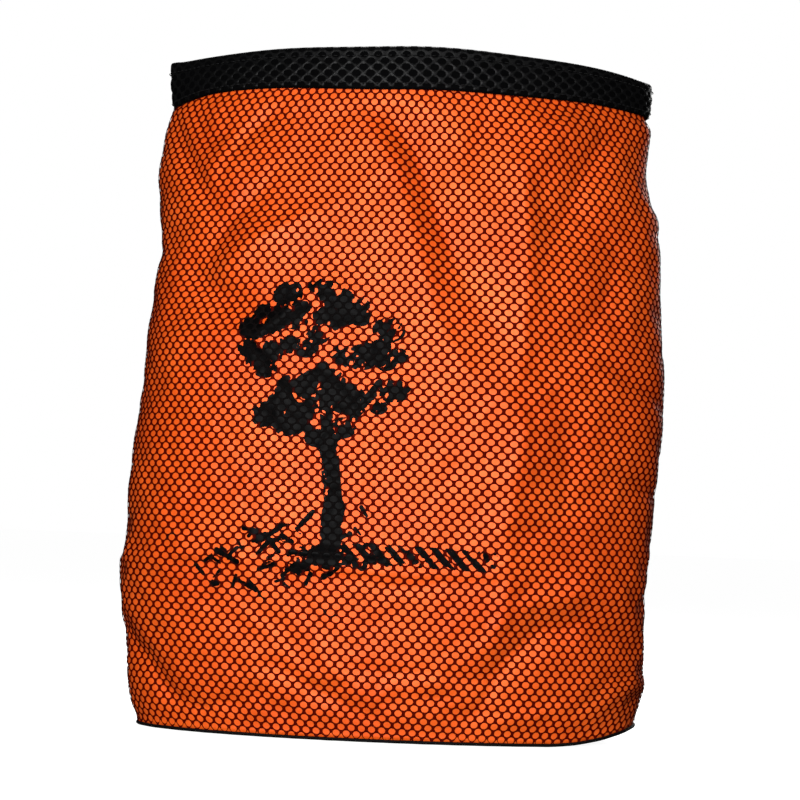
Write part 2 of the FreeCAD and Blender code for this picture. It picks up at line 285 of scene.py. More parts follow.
def yarn_material(name, colours, roughness, twist_pitch, gloss, over_ink=None):
    """Knitted or twisted yarn: fine fibres. over_ink holds its colours where it crosses the print, with none
    of the painted glow of lining light that the net's colours carry.
    """
    nodes = Nodes(name)
    fibres = nodes.noise(0.0006, detail=3.0, roughness=0.7)
    colour = nodes.ramp(fibres, list(zip((0.3, 0.75), colours)))
    if over_ink:
        # Where the print lies under the yarn, its own black replaces the painted glow of the lining's light.
        crossing = nodes.add("ShaderNodeAttribute", attribute_name=OVER_PRINT)
        mix = nodes.add("ShaderNodeMix", data_type="RGBA")
        nodes.link(crossing.outputs["Fac"], mix.inputs["Factor"])
        nodes.link(colour, mix.inputs["A"])
        nodes.link(nodes.ramp(fibres, list(zip((0.3, 0.75), over_ink))), mix.inputs["B"])
        colour = mix.outputs["Result"]
    twist = nodes.wave(twist_pitch, "DIAGONAL", distortion=1.5)
    normal = nodes.bump(twist, 0.00008, over=nodes.bump(fibres, 0.00006))
    return nodes.finish(colour, nodes.range(nodes.noise(0.03), *roughness), normal, Specular_IOR_Level=gloss)


def glinting_net_material():
    """The collar's coarse net: black, smooth yarn that only glints where a lamp catches it."""
    nodes = Nodes("collar_net_yarn")
    fibres = nodes.noise(0.0009, detail=3.0, roughness=0.7)
    colour = nodes.ramp(fibres, [(0.3, (0.0008, 0.0008, 0.0009)), (0.7, (0.0028, 0.0028, 0.003))])
    normal = nodes.bump(fibres, 0.00005, over=nodes.bump(nodes.noise(0.0021), 0.00015))
    return nodes.finish(colour, nodes.range(nodes.noise(0.01), 0.36, 0.50), normal, Specular_IOR_Level=0.09)


def ink_material():
    """Screen-print ink: nearly black, slightly glossy, cracked very finely."""
    nodes = Nodes("print_ink")
    grain = nodes.noise(0.004, detail=4.0)
    colour = nodes.ramp(grain, [(0.3, (0.0008, 0.0007, 0.0008)), (0.7, (0.0024, 0.0021, 0.0022))])
    normal = nodes.bump(nodes.noise(0.0012, detail=3.0), 0.00006)
    return nodes.finish(colour, nodes.range(grain, 0.38, 0.55), normal, Specular_IOR_Level=0.03)


def board_material():
    """Stiffener sheet: moulded polyethylene with a fine pebble."""
    nodes = Nodes("stiffener_sheet")
    pebble = nodes.noise(0.0015)
    colour = nodes.ramp(nodes.noise(0.03), [(0.3, (0.03, 0.03, 0.033)), (0.7, (0.045, 0.045, 0.05))])
    return nodes.finish(colour, nodes.range(pebble, 0.4, 0.6), nodes.bump(pebble, 0.0001))


def wire_material():
    """Drawn spring wire: bright steel with lengthwise draw lines."""
    nodes = Nodes("spring_wire")
    lines = nodes.noise(0.0005, detail=3.0, source=nodes.stretched((0.05, 0.05, 1.0)))
    colour = nodes.ramp(lines, [(0.3, (0.42, 0.42, 0.43)), (0.7, (0.6, 0.6, 0.62))])
    return nodes.finish(colour, nodes.range(lines, 0.25, 0.45), nodes.bump(lines, 0.00003), Metallic=1.0)


LINING_ORANGE = [(0.82, 0.090, 0.003), (0.90, 0.112, 0.006), (0.97, 0.138, 0.011)]
# Yarn of the wall's net: black, with a painted red glow in its colour for the light of the lining that shines
# through it, but plain black over the print, where no glow is painted.
NET_PAINTED_GLOW = [(0.045, 0.0008, 0.0002), (0.105, 0.004, 0.0008)]
NET_OVER_INK = [(0.002, 0.0015, 0.0015), (0.006, 0.005, 0.005)]
# Darkest and lightest colour of each black cloth and yarn.
BLACKS = {
    "collar": [(0.0007, 0.0007, 0.0008), (0.0017, 0.0017, 0.0019)],
    "base": [(0.004, 0.004, 0.0045), (0.010, 0.010, 0.011)],
    "tape": [(0.004, 0.004, 0.0045), (0.009, 0.009, 0.010)],
    "webbing": [(0.006, 0.006, 0.0065), (0.014, 0.014, 0.015)],
    "piping": [(0.0012, 0.0012, 0.0013), (0.004, 0.004, 0.0043)],
    "thread": [(0.002, 0.002, 0.0022), (0.008, 0.008, 0.0085)],
}
# Black cloths: name, roughness, the weave's pitch and height, height of wrinkles, specular level.
BLACK_CLOTHS = {
    "collar": ("collar_cloth", (0.7, 0.85), 0.0006, 0.00004, 0, 0.015),
    "base": ("base_cloth", (0.5, 0.66), 0.0011, 0.00012, 0.0002, 0.2),
    "tape": ("grosgrain", (0.55, 0.7), 0.0012, 0.0002, 0, 0.2),
    "webbing": ("webbing", (0.5, 0.65), 0.0016, 0.0003, 0, 0.25),
}
# Black yarns: name, roughness, pitch of the twist, specular level.
BLACK_YARNS = {
    "piping": ("piping_cord", (0.6, 0.8), 0.0009, 0.06),
    "thread": ("sewing_thread", (0.5, 0.65), 0.0005, 0.12),
}


def make_materials():
    materials = {}
    for key, (name, *surface, gloss) in BLACK_CLOTHS.items():
        materials[key] = cloth_material(name, BLACKS[key], *surface, Specular_IOR_Level=gloss)
    for key, (name, *surface) in BLACK_YARNS.items():
        materials[key] = yarn_material(name, BLACKS[key], *surface)
    materials["lining"] = cloth_material(
        "lining_nylon", LINING_ORANGE, (0.48, 0.60), 0.00045, 0.00002, 0.0006,
        Metallic=0.2, Specular_IOR_Level=0.35,
    )
    # The net's yarn carries a painted red glow for light bounced from the orange lining; over the print it
    # stays black.
    materials["net"] = yarn_material("net_yarn", NET_PAINTED_GLOW, (0.65, 0.85), 0.0007, 0.01, NET_OVER_INK)
    materials["collar_net"] = glinting_net_material()
    materials["ink"] = ink_material()
    materials["board"] = board_material()
    materials["wire"] = wire_material()
    return materials


# ---------------------------------------------------------------- mesh helpers


def new_object(name, points, faces, material):
    """A smooth mesh object from an array of points and a list or array of faces."""
    mesh = bpy.data.meshes.new(name)
    faces = faces if isinstance(faces, list) else faces.tolist()
    mesh.from_pydata(np.asarray(points, float).tolist(), [], faces)
    mesh.validate()
    mesh.polygons.foreach_set("use_smooth", [True] * len(mesh.polygons))
    mesh.materials.append(material)
    return place_in_scene(name, mesh)


def grid_faces(rows, columns, closed=False):
    """Quads of a grid of points stored row by row."""
    across = columns if closed else columns - 1
    r, c = np.meshgrid(np.arange(rows - 1), np.arange(across), indexing="ij")
    right = (c + 1) % columns
    here, above = r * columns, (r + 1) * columns
    return np.stack([here + c, here + right, above + right, above + c], -1).reshape(-1, 4)


def tube_faces(stations, around, closed):
    """Faces of a tube of rings: joined end to end, or capped at both ends."""
    if closed:
        return (grid_faces(stations + 1, around, True) % (stations * around)).tolist()
    caps = [list(range(around))[::-1], list(range((stations - 1) * around, stations * around))]
    return grid_faces(stations, around, True).tolist() + caps


def thicken(made, thickness, offset=-1.0):
    """Give a sheet its cloth thickness. An offset of -1 adds it behind the faces."""
    solid = made.modifiers.new("thickness", "SOLIDIFY")
    solid.thickness = thickness
    solid.offset = offset
    solid.use_even_offset = False
    mesh = bpy.data.meshes.new_from_object(made.evaluated_get(bpy.context.evaluated_depsgraph_get()))
    made.modifiers.clear()
    made.data = mesh
    return made


def unit(vectors):
    return vectors / np.maximum(np.linalg.norm(vectors, axis=-1, keepdims=True), 1e-12)


def smoothstep(low, high, value):
    t = np.clip((value - low) / (high - low), 0, 1)
    return t * t * (3 - 2 * t)


# ---------------------------------------------------------------- the wall's surface

WALL_LOW = 0.0012
WALL_HIGH = 0.3625
COLUMNS = 264
ROWS = 132
FULLNESS = 0.22
EGG = 0.07
RIM_POWER = 1.72
LIFT = 0.010
# How far the slack cloth is drawn in at each seam: (height, depth) in mm. Minus stands out.
LEFT_DRAW = [
    (345, 0), (290, -1.7), (279, 1.1), (256, 4.0), (233, 7.4), (210, 8.0), (176, 7.4), (153, 4.6), (130, 1.1),
    (108, 0), (85, -4.0), (62, -2.9), (39, 1.5), (10, 0),
]
RIGHT_DRAW = [
    (361, 0.4), (354, -1.4), (348, -1.2), (342, 1.4), (325, 4.0), (314, 3.4), (303, 0), (280, -3.4),
    (257, -0.6), (234, 4.6), (211, 2.9), (188, 4.0), (142, 6.9), (120, 5.1), (90, 1.8), (74, 4.6),
    (51, 6.9), (39, 7.4), (24, 3.0), (6, 1.5),
]


def wall_share(level):
    """Share of the wall's height at a level."""
    return (level - WALL_LOW) / (WALL_HIGH - WALL_LOW)


def measure_outline():
    """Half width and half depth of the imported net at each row, by rays from outside."""
    net = frame["nodes"]["mesh_front"]
    low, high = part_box("mesh_front")
    levels = np.linspace(WALL_LOW, WALL_HIGH, ROWS)
    halves = []
    for level in np.clip(levels, low.z + 0.0005, high.z - 0.0005):
        near_seam = net.ray_cast(Vector((1, -0.002, level)), Vector((-1, 0, 0)))[1].x
        front = net.ray_cast(Vector((0, -1, level)), Vector((0, 1, 0)))[1].y
        halves.append((near_seam, -front))
    return levels, np.array(halves)


def smooth_rows(values, passes):
    """Average each row with its neighbours, keeping the ends."""
    for _ in range(passes):
        values[1:-1] = (values[:-2] + 2 * values[1:-1] + values[2:]) / 4
    return values


class Surface:
    """A closed grid of points round the bag: rows of rising height, columns of rising f."""

    def __init__(self, points):
        self.points = points
        self.normals = surface_normals(points)

    def at(self, f, v, lift=0.0):
        """Points at round-the-bag share f and height share v, lifted along the normal, by cubic weights."""
        rows, columns = self.points.shape[:2]
        x = np.asarray(f, float) * columns
        y = np.clip(np.asarray(v, float), 0, 1) * (rows - 1)
        column, row = np.floor(x).astype(int), np.floor(y).astype(int)
        across, up = cubic_weights(x - column), cubic_weights(y - row)
        place, normal = 0.0, 0.0
        for i in range(4):
            r = np.clip(row + i - 1, 0, rows - 1)
            for j in range(4):
                c = (column + j - 1) % columns
                weight = (up[i] * across[j])[..., None]
                place = place + weight * self.points[r, c]
                normal = normal + weight * self.normals[r, c]
        return place + normal * np.asarray(lift, float)[..., None]


def cubic_weights(t):
    return (
        (-t + 2 * t**2 - t**3) / 2,
        (2 - 5 * t**2 + 3 * t**3) / 2,
        (t + 4 * t**2 - 3 * t**3) / 2,
        (-(t**2) + t**3) / 2,
    )


def surface_normals(points):
    """Outward unit normals of a closed grid."""
    across = np.roll(points, -1, 1) - np.roll(points, 1, 1)
    up = np.gradient(points, axis=0)
    normal = np.cross(across, up)
    return normal / np.maximum(np.linalg.norm(normal, axis=-1, keepdims=True), 1e-12)


def oval(angle, wide, deep, power):
    """Point on a superellipse, from the left seam by the front."""
    c, s = np.cos(angle), np.sin(angle)
    return -wide * np.sign(c) * np.abs(c) ** (2 / power), -deep * np.sign(s) * np.abs(s) ** (2 / power)


def even_section(half_width, half_depth, power):
    """COLUMNS points round an oval of the given fullness, evenly spaced, from the left seam by the front."""
    x, y = oval(np.linspace(0, 2 * math.pi, 2881), half_width, half_depth, power)
    length = np.concatenate([[0], np.cumsum(np.hypot(np.diff(x), np.diff(y)))])
    wanted = np.arange(COLUMNS) / COLUMNS * length[-1]
    return np.interp(wanted, length, x), np.interp(wanted, length, y)


def corner_lift(x):
    """The right-hand tip of the base is curled up a little from standing and being carried."""
    return LIFT * np.clip((np.asarray(x) - 0.086) / 0.055, 0, 1.1) ** 2


def plain_wall():
    """The unfolded wall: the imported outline, slightly fuller at its corners half way up."""
    levels, halves = measure_outline()
    points = np.zeros((ROWS, COLUMNS, 3))
    for row, level in enumerate(levels):
        height = level / TOP
        middle = smoothstep(0.02, 0.25, height) * (1 - smoothstep(0.60, 0.92, height))
        leaner = (2 - RIM_POWER) * smoothstep(0.80, 0.93, height)
        inset = 0.0008 + 0.0014 * smoothstep(0.350, 0.356, level)
        x, y = even_section(halves[row, 0] - inset, halves[row, 1] - inset, 2 + FULLNESS * middle - leaner)
        points[row, :, 0] = x
        points[row, :, 1] = y * (1 - EGG * middle * x / halves[row, 0])
        points[row, :, 2] = level + corner_lift(x) * (1 - smoothstep(0.004, 0.050, level))
    return points


# Folds of the front panel: (depth in mm, width in mm, points as (u, height in mm)). Minus is a valley.
FRONT_FOLDS = [
    (3.2, 48, [(0.52, 336), (0.40, 300), (0.35, 238), (0.36, 180), (0.31, 120), (0.34, 58)]),
    (-1.6, 30, [(0.70, 260), (0.66, 180), (0.62, 120)]),
    (2.8, 32, [(-0.62, 252), (-0.40, 272), (-0.16, 292)]),
    (-3.4, 20, [(-0.78, 262), (-0.60, 236)]),
    (-7.0, 13, [(-0.12, 358), (-0.08, 349), (0.03, 319), (0.11, 285), (0.16, 261), (0.23, 240)]),
    (4.2, 14, [(-0.17, 334), (-0.04, 307), (0.02, 273), (0.08, 235), (0.18, 203), (0.27, 187)]),
    (-3.2, 7, [(0.21, 313), (0.26, 341), (0.34, 359)]),
    (3.4, 9, [(0.67, 360), (0.52, 336), (0.39, 314), (0.39, 277), (0.37, 238), (0.35, 199)]),
    (-3.4, 10, [(0.48, 277), (0.53, 290), (0.61, 314), (0.72, 337), (0.90, 356)]),
    (-2.6, 12, [(0.70, 268), (0.64, 241), (0.55, 223), (0.48, 211)]),
    (3.4, 13, [(0.30, 194), (0.37, 172), (0.34, 144), (0.33, 117), (0.34, 90), (0.32, 58)]),
    (-2.6, 13, [(0.49, 180), (0.52, 151), (0.51, 122)]),
    (-2.4, 6, [(0.66, 209), (0.76, 201), (0.90, 192)]),
    (-2.0, 6, [(0.70, 149), (0.94, 140)]),
    (-3.2, 7, [(-0.92, 342), (-0.83, 323), (-0.74, 305), (-0.65, 287)]),
    (-2.6, 5, [(-0.84, 350), (-0.73, 329), (-0.65, 330)]),
    (-2.6, 6, [(-0.63, 317), (-0.57, 331), (-0.48, 344)]),
    (2.0, 7, [(-0.71, 303), (-0.64, 318), (-0.58, 302)]),
    (-2.6, 8, [(-0.65, 265), (-0.58, 283), (-0.47, 299)]),
    (3.0, 8, [(-0.61, 249), (-0.48, 269), (-0.31, 284)]),
    (-4.0, 8, [(-0.71, 252), (-0.57, 237), (-0.46, 230)]),
    (2.2, 9, [(-0.77, 213), (-0.44, 218), (-0.25, 243)]),
    (1.2, 5, [(-1.0, 92), (-0.57, 99), (-0.25, 95), (0.05, 91), (0.3, 94)]),
    (-3.6, 10, [(0.28, 15), (0.36, 47), (0.46, 62), (0.61, 67), (0.84, 56)]),
    (2.4, 9, [(0.42, 78), (0.61, 86), (0.80, 79)]),
    (-4.2, 9, [(-0.92, 54), (-0.88, 45), (-0.77, 28), (-0.70, 12)]),
    (1.8, 8, [(-0.22, 46), (-0.06, 24)]),
    (-1.6, 6, [(-0.30, 34), (-0.12, 18)]),
    (3.6, 22, [(-1.0, 326), (-1.0, 302)]),
    (-3.0, 16, [(-1.0, 272), (-1.0, 262)]),
    (1.6, 30, [(-1.0, 190), (-1.0, 130)]),
    (4.0, 20, [(1.0, 303), (1.0, 288)]),
    (1.6, 20, [(1.0, 240), (1.0, 222)]),
    (-4.8, 26, [(1.0, 105), (1.0, 72)]),
    (-4.0, 14, [(0.82, 14), (1.0, 12)]),
]
# The back panel lies flatter: a few long diagonals from the collar and soft creases over the base.
BACK_FOLDS = [
    (-4.0, 12, [(0.30, 356), (0.16, 318), (0.12, 282), (0.02, 240)]),
    (3.4, 12, [(0.05, 335), (-0.02, 300), (-0.12, 262), (-0.14, 220)]),
    (-3.2, 10, [(-0.36, 356), (-0.40, 320), (-0.52, 280), (-0.70, 254)]),
    (3.0, 10, [(-0.62, 350), (-0.60, 312), (-0.74, 276)]),
    (-3.0, 9, [(0.86, 350), (0.72, 310), (0.56, 288)]),
    (2.8, 10, [(0.60, 340), (0.50, 300), (0.42, 250), (0.44, 190)]),
    (-2.8, 10, [(0.70, 220), (0.58, 190), (0.60, 150)]),
    (2.4, 14, [(-0.40, 200), (-0.36, 150), (-0.40, 100)]),
    (-3.4, 10, [(-0.20, 22), (-0.34, 50), (-0.56, 66), (-0.84, 58)]),
    (2.2, 9, [(-0.30, 84), (-0.60, 90), (-0.86, 80)]),
    (-3.6, 9, [(0.94, 60), (0.80, 40), (0.66, 14)]),
    (1.4, 6, [(0.96, 104), (0.40, 96), (-0.10, 102)]),
]
PANEL_HALF = 0.1816
LINING_THICK = 0.0004

# The lining settles as cloth: the grid, the length of the run, how firmly it is guided, how far it may move.
SIM_COLUMNS = 176
SIM_ROWS = 88
SIM_FRAMES = 18
SIM_GUIDE = 0.20
SIM_REACH = 0.008
SIM_GRAVITY = 0.15
SIM_CLOTH = {
    "quality": 6,
    "mass": 0.12,
    "tension_stiffness": 18,
    "compression_stiffness": 18,
    "shear_stiffness": 6,
    "bending_stiffness": 0.06,
    "air_damping": 2,
    "vertex_group_mass": "held",
    "pin_stiffness": 1.0,
    "shrink_min": -0.008,
    "use_pressure": True,
    "uniform_pressure_force": 0.12,
}


def fold_height(u, z, folds):
    """Outward height of a panel's folds at panel share u and height z, in metres."""
    u, z = np.broadcast_arrays(u, z)
    total = np.zeros(u.shape)
    for depth, width, points in folds:
        nearest = np.full(u.shape, 1e9)
        along = np.zeros(u.shape)
        path = np.array([(share * PANEL_HALF, height * MM) for share, height in points])
        lengths = np.hypot(*np.diff(path, axis=0).T)
        total_length = lengths.sum()
        travelled = 0.0
        for start, end, length in zip(path[:-1], path[1:], lengths):
            step = end - start
            t = ((u * PANEL_HALF - start[0]) * step[0] + (z - start[1]) * step[1]) / length**2
            t = np.clip(t, 0, 1)
            distance = np.hypot(u * PANEL_HALF - start[0] - t * step[0], z - start[1] - t * step[1])
            closer = distance < nearest
            nearest = np.where(closer, distance, nearest)
            along = np.where(closer, (travelled + t * length) / total_length, along)
            travelled += length
        taper = np.sqrt(np.clip(np.sin(math.pi * np.clip(0.08 + 0.84 * along, 0, 1)), 0, 1))
        total += depth * MM * taper * np.exp(-((nearest / (width * MM)) ** 1.6))
    return total


def soft_noise(shape, sizes):
    """Smooth random relief on the closed grid: a sum of seeded ripples, about 1 high."""
    f = np.arange(shape[1]) / shape[1]
    v = np.arange(shape[0]) / shape[0]
    total = np.zeros(shape)
    for waves_round, waves_up, weight in sizes:
        for _ in range(7):
            around = rng.integers(-waves_round, waves_round + 1)
            up = rng.uniform(-waves_up, waves_up)
            phase = rng.uniform(0, 2 * math.pi)
            total += weight * np.cos(2 * math.pi * (around * f[None, :] + up * v[:, None]) + phase) / 7**0.5
    return total


def draw_in(points):
    """Pull the wall in towards the middle near its two seams."""
    height = points[:, 0, 2] / MM
    half = np.abs(points[..., 0]).max(1, keepdims=True)
    weight = np.abs(points[..., 0] / half) ** 3
    for side, draw in ((-1, LEFT_DRAW), (1, RIGHT_DRAW)):
        heights, depths = np.array(draw[::-1], float).T
        depth = smooth_rows(np.interp(height, heights, depths), 3) * MM
        points[..., 0] -= np.where(points[..., 0] * side > 0, side * weight * depth[:, None], 0)
    return points


def folded_wall():
    """The lining as it hangs: the plain wall with its folds and a soft unevenness."""
    points = draw_in(plain_wall())
    normals = surface_normals(points)
    f = np.arange(COLUMNS) / COLUMNS
    z = points[:, :1, 2]
    u_front = f * 4 - 1
    u_back = 3 - f * 4
    # Each u runs on past the left seam, where f starts again, so that folds fade round it.
    u_front = np.where(f > 0.75, u_front - 4, u_front)
    u_back = np.where(f < 0.25, u_back - 4, u_back)
    relief = fold_height(u_front, z, FRONT_FOLDS) + fold_height(u_back, z, BACK_FOLDS)
    relief += 0.0007 * soft_noise((ROWS, COLUMNS), [(6, 4, 1.0), (14, 9, 0.5), (30, 18, 0.22)])
    held_at_top = 1 - smoothstep(0.338, 0.354, z)
    held_at_foot = smoothstep(0.004, 0.020, z)
    return points + normals * (relief * held_at_top * held_at_foot)[..., None]


def settled(points):
    """Let the folded wall settle as cloth: held at hem and foot, slightly too large, so that it creases."""
    f, v = np.meshgrid(np.arange(SIM_COLUMNS) / SIM_COLUMNS, np.linspace(0, 1, SIM_ROWS))
    start = Surface(points).at(f, v)
    faces = grid_faces(SIM_ROWS, SIM_COLUMNS, True)
    cloth_piece = new_object("settling", start.reshape(-1, 3), faces, new_material("plain"))
    held = cloth_piece.vertex_groups.new(name=SIM_CLOTH["vertex_group_mass"])
    for row, level in enumerate(WALL_LOW + np.linspace(0, 1, SIM_ROWS) * (WALL_HIGH - WALL_LOW)):
        ends = max(smoothstep(0.344, 0.352, level), 1 - smoothstep(0.008, 0.016, level))
        indices = list(range(row * SIM_COLUMNS, (row + 1) * SIM_COLUMNS))
        held.add(indices, float(max(SIM_GUIDE, ends)), "REPLACE")
    cloth = cloth_piece.modifiers.new("cloth", "CLOTH")
    for name, value in SIM_CLOTH.items():
        setattr(cloth.settings, name, value)
    cloth.settings.effector_weights.gravity = SIM_GRAVITY
    cloth.collision_settings.use_collision = False
    scene = bpy.context.scene
    scene.frame_start = 1
    scene.frame_end = SIM_FRAMES
    for frame_number in range(1, SIM_FRAMES + 1):
        scene.frame_set(frame_number)
    evaluated = cloth_piece.evaluated_get(bpy.context.evaluated_depsgraph_get())
    moved = np.empty(SIM_ROWS * SIM_COLUMNS * 3)
    evaluated.data.vertices.foreach_get("co", moved)
    scene.frame_set(1)
    bpy.data.objects.remove(cloth_piece)
    shift = moved.reshape(SIM_ROWS, SIM_COLUMNS, 3) - start
    length = np.linalg.norm(shift, axis=-1, keepdims=True)
    shift *= np.minimum(1, SIM_REACH / np.maximum(length, 1e-9))
    print("settled: mean %.2f mm, most %.2f mm" % (length.mean() / MM, length.max() / MM))
    f, v = np.meshgrid(np.arange(COLUMNS) / COLUMNS, np.linspace(0, 1, ROWS))
    return Surface(start + shift).at(f, v)


def taut_over(points, passes, clearance):
    """A net pulled over the lining: smoother than it, never inside it, clear by the given distance."""
    smooth = points.copy()
    for _ in range(passes):
        smooth = (2 * smooth + np.roll(smooth, 1, 1) + np.roll(smooth, -1, 1)) / 4
        smooth = smooth_rows(smooth, 1)
    normals = surface_normals(smooth)
    sunk = np.einsum("ijk,ijk->ij", points - smooth, normals)
    lift = np.maximum(sunk, 0)
    for _ in range(6):
        around = (np.roll(lift, 1, 1) + np.roll(lift, -1, 1)) / 2
        lift = np.maximum(np.maximum(sunk, 0), 0.5 * lift + 0.5 * around)
    return smooth + normals * (lift + clearance)[..., None]


# ---------------------------------------------------------------- nets


def net_ring(hole):
    """One cell: 12 points on the rhombus through its four knots, 12 round its hole, and the quads between."""
    knots = [(1, 0), (0, 1), (-1, 0), (0, -1)]
    outer = []
    for k in range(4):
        start, end = np.array(knots[k]), np.array(knots[(k + 1) % 4])
        outer += [start + (end - start) * part / 3 for part in range(3)]
    angle = np.arange(12) * math.pi / 6
    inner = np.stack([hole[0] * np.cos(angle), hole[1] * np.sin(angle)], -1)
    following = (np.arange(12) + 1) % 12
    quads = np.stack([np.arange(12), following, following + 12, np.arange(12) + 12], -1)
    return np.concatenate([np.array(outer, float), inner]), quads


def make_net(name, place, centres, half_pitch, hole, ridge, material, tone=None):
    """A knitted net of raised rings round holes. `place(a, b, lift)` puts net coordinates on a surface."""
    ring, quads = net_ring(hole)
    count = len(centres)
    a = centres[:, :1] + ring[:, 0] * half_pitch[0]
    b = centres[:, 1:] + ring[:, 1] * half_pitch[1]
    crest = np.where(np.arange(24) < 12, ridge, 0.0)
    crest[:12:3] *= 0.8
    points = place(a, b, crest * np.ones((count, 1))).reshape(-1, 3)
    faces = (quads[None] + 24 * np.arange(count)[:, None, None]).reshape(-1, 4)
    # Neighbouring cells share the points on their common edge, and cut cells lose their flat part.
    keys = np.round(points, 6)
    _, first, shared = np.unique(keys, axis=0, return_index=True, return_inverse=True)
    points, faces = points[first], shared.reshape(-1)[faces]
    one, two = points[faces[:, 2]] - points[faces[:, 0]], points[faces[:, 3]] - points[faces[:, 1]]
    whole = np.linalg.norm(np.cross(one, two), axis=-1) > 1e-9
    made = new_object(name, points, faces[whole], material)
    # Per point, how far the net lies over the print: there the yarn loses its painted glow of lining light.
    if tone is not None:
        shades = tone(a.ravel()[first], b.ravel()[first])
        made.data.attributes.new(OVER_PRINT, "FLOAT", "POINT").data.foreach_set("value", shades)
    return made


NET_CELLS_ROUND = 120
NET_ROW = 0.00338
NET_LOW = 0.0016
NET_HIGH = 0.3615
NET_HOLE = (0.715, 0.515)
NET_SAG = 0.007
NET_SLANT = 0.0052
NET_RIDGE = 0.00028


def net_drop(f, z):
    """How far the net's rows hang below level: they sag to both seams at the top and slant at the foot."""
    high = smoothstep(0.10, 0.34, z)
    sag = NET_SAG * (1 + np.cos(4 * math.pi * f)) / 2
    slant = NET_SLANT * np.sin(2 * math.pi * (f - 0.25))
    return high * sag + (1 - 0.4 * high) * slant


def wall_net(name, surface, first_share, material):
    """Net of one panel. first_share is where the panel starts round the bag."""
    spare = 8
    rows = int((NET_HIGH - NET_LOW) / NET_ROW) + 2 * spare
    across = NET_CELLS_ROUND // 2
    column, row = np.meshgrid(np.arange(across), np.arange(rows))
    f = (first_share + (column + 0.5 * (row % 2)) / NET_CELLS_ROUND).ravel()
    z = (NET_LOW + NET_ROW * (row + 0.5 - spare)).ravel()
    hung = z - net_drop(f, z)
    kept = (hung > NET_LOW) & (hung < NET_HIGH)

    def place(a, b, lift):
        level = np.clip(b - net_drop(a, b), NET_LOW, WALL_HIGH)
        return surface.at(a, wall_share(level), lift)

    def tone(a, b):
        # 1 where ink lies under the net, where its yarn shows black without the painted glow of the lining's
        # light.
        return 1.0 - smoothstep(-0.0003, 0.0006, ink_field(4 * a - 1, b - net_drop(a, b)))

    centres = np.stack([f[kept], z[kept]], -1)
    half_pitch = (0.5 / NET_CELLS_ROUND, NET_ROW)
    return make_net(name, place, centres, half_pitch, NET_HOLE, NET_RIDGE, material, tone)


# ---------------------------------------------------------------- collar

HEM_LOW = 0.3550
HEM_TOP = TOP
HEM_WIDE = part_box("collar_mesh")[1].x
HEM_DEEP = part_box("collar_mesh")[1].y
HEM_THICK = 0.0084
HEM_CROWN = 0.0021
HOOP_INSET = 0.0042
HOOP_DROP = 0.0046
# The collar is pinched at its seams, so its top edge leans out and rises there: (left, right).
SEAM_LEAN = (-0.0029, 0.0008)
SEAM_RISE = (0.0019, 0.0011)
SEAM_REACH = 0.018
COLLAR_CELLS = 80
COLLAR_ROW = 0.0036
COLLAR_HOLE = (0.60, 0.52)
COLLAR_RIDGE = 0.00050
BAND_THICK = 0.0007
# Collar stitches: where each row runs on the hem's section, one stitch's pitch, length and thickness.
STITCH_ROWS = (("lower", 0.06), ("upper", 0.36))
STITCH_PITCH = 0.0034
STITCH_LENGTH = 0.0027
STITCH_THICK = 0.0006


class Hem:
    """The folded hem's path in section: up outside, over the hoop, down inside. Shares run from 0 to 1."""

    def __init__(self, inset, low):
        corner = 0.0020
        rise = HEM_TOP - inset - corner
        turn = np.linspace(0, math.pi / 2, 6)
        half = HEM_THICK / 2 - inset
        outer = [(-half + 0.0010, low), (-half + 0.0004, low + 0.004), (-half, low + 0.012)]
        bend = list(zip(-half + corner - corner * np.cos(turn), rise + corner * np.sin(turn)))
        path = outer + bend
        path += [(-x, z) for x, z in bend[::-1]]
        path += [(half - 0.0003, low + 0.012), (half - 0.0018, low + 0.003)]
        self.depth = np.array([x for x, z in path]) + HEM_THICK / 2
        self.height = np.array([z for x, z in path])
        self.low = low
        steps = np.hypot(np.diff(self.depth), np.diff(self.height))
        self.share = np.concatenate([[0], np.cumsum(steps)])
        self.length = self.share[-1]
        self.share = self.share / self.length

    def section(self, v):
        return np.interp(v, self.share, self.depth), np.interp(v, self.share, self.height)

    def at(self, f, v, lift=0.0):
        """Point at share f round the rim and v along the section, lifted off the cloth."""
        v = np.clip(v, 0, 1)
        depth, height = self.section(v)
        ahead, behind = self.section(np.clip(v + 0.012, 0, 1)), self.section(np.clip(v - 0.012, 0, 1))
        run, rise = ahead[0] - behind[0], ahead[1] - behind[1]
        size = np.hypot(run, rise)
        depth = depth - lift * rise / size
        height = height + lift * run / size
        line, outward = rim_line(f)
        upper_part = np.clip((height - self.low) / (HEM_TOP - self.low), 0, 1)
        raised = rim_crown(f) + at_seams(f, SEAM_RISE, SEAM_REACH)
        line[..., 0] += at_seams(f, SEAM_LEAN, SEAM_REACH) * upper_part
        line[..., 2] = height + rim_wobble(f) + edge_dip(f) * (1 - upper_part) + raised * upper_part
        return line - outward * depth[..., None]


def rim_line(f):
    """The mouth's outline, level, and its outward directions, at shares f round it."""
    angle = np.interp(np.asarray(f) % 1.0, RIM_SHARES, RIM_ANGLES)
    x, y = oval(angle, HEM_WIDE, HEM_DEEP, RIM_POWER)
    step = 0.002
    x1, y1 = oval(angle + step, HEM_WIDE, HEM_DEEP, RIM_POWER)
    x0, y0 = oval(angle - step, HEM_WIDE, HEM_DEEP, RIM_POWER)
    return np.stack([x, y, 0 * x], -1), unit(np.stack([y1 - y0, x0 - x1, 0 * x], -1))


def at_seams(f, sizes, reach):
    """A value that is sizes[0] at the left seam and sizes[1] at the right one, and fades away from them."""
    round_left = np.minimum(np.asarray(f) % 1.0, 1 - np.asarray(f) % 1.0)
    left, right = np.exp(-((round_left / reach) ** 2)), np.exp(-(((0.5 - round_left) / reach) ** 2))
    return sizes[0] * left + sizes[1] * right


